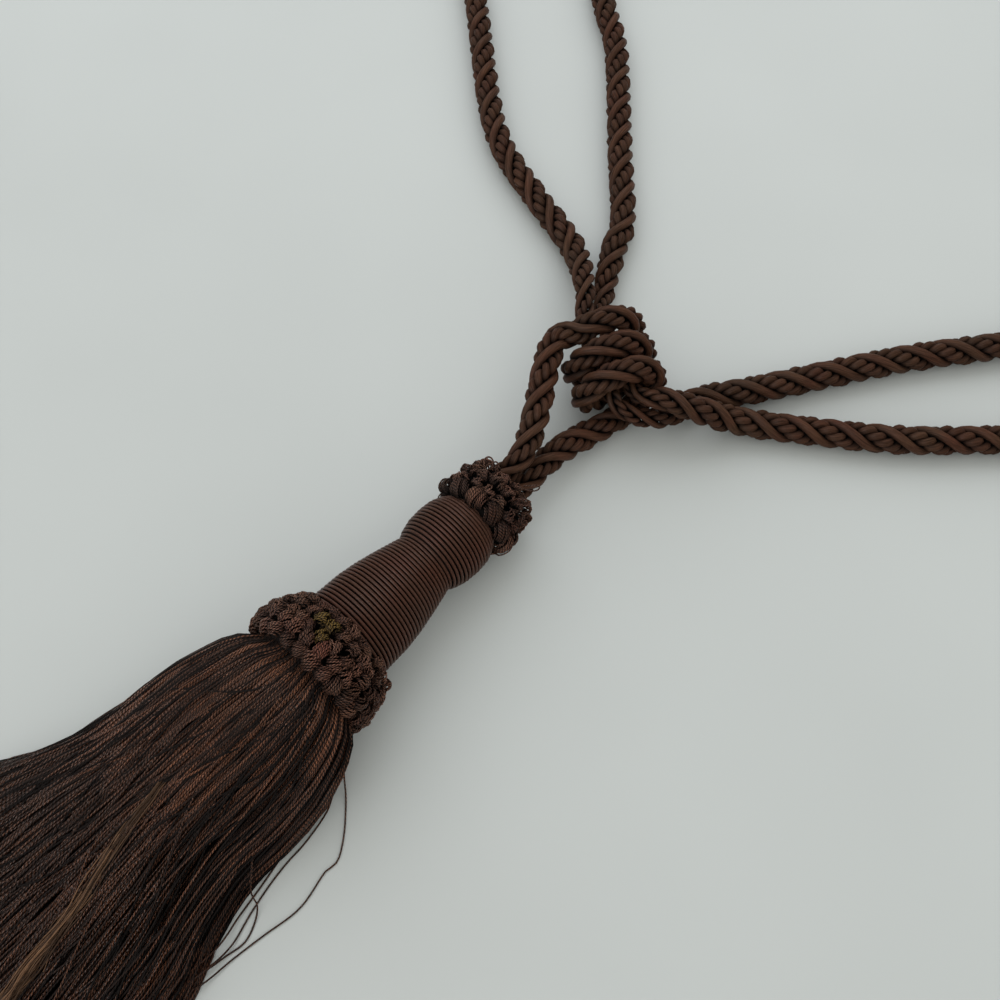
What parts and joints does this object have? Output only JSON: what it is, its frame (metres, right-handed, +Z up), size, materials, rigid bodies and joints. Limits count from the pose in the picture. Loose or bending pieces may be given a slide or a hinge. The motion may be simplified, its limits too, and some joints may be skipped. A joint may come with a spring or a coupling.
{
  "type": "curtain tieback tassel",
  "caption": "Curtain tieback: a tassel with a wound head, yarn ruffs and a long skirt, hung by a barrel knot on a twisted rope that forms a loop on each side.",
  "frame": {"origin": "on the flat spot on the surface under the tassel's lower ruff", "axes": "+Z up from the surface, +Y along the tassel from its skirt towards its rope"},
  "size_m": [0.4088, 0.4968, 0.0435],
  "materials": {
    "rope_yarn": "dark brown twisted rayon cord with a soft sheen",
    "head_winding": "dark brown wound cord, close turns, soft sheen",
    "ruff_yarn": "dark brown looped yarn clusters, matte with glints",
    "skirt_yarn": "dark brown fine two-ply rayon yarn with a silky sheen"
  },
  "bodies": {
    "root": {"embrace_rope": "rope_yarn", "hanger_rope": "rope_yarn", "head": "head_winding", "lower_ruff": "ruff_yarn", "upper_ruff": "ruff_yarn", "skirt": "skirt_yarn"}
  },
  "joints": []
}
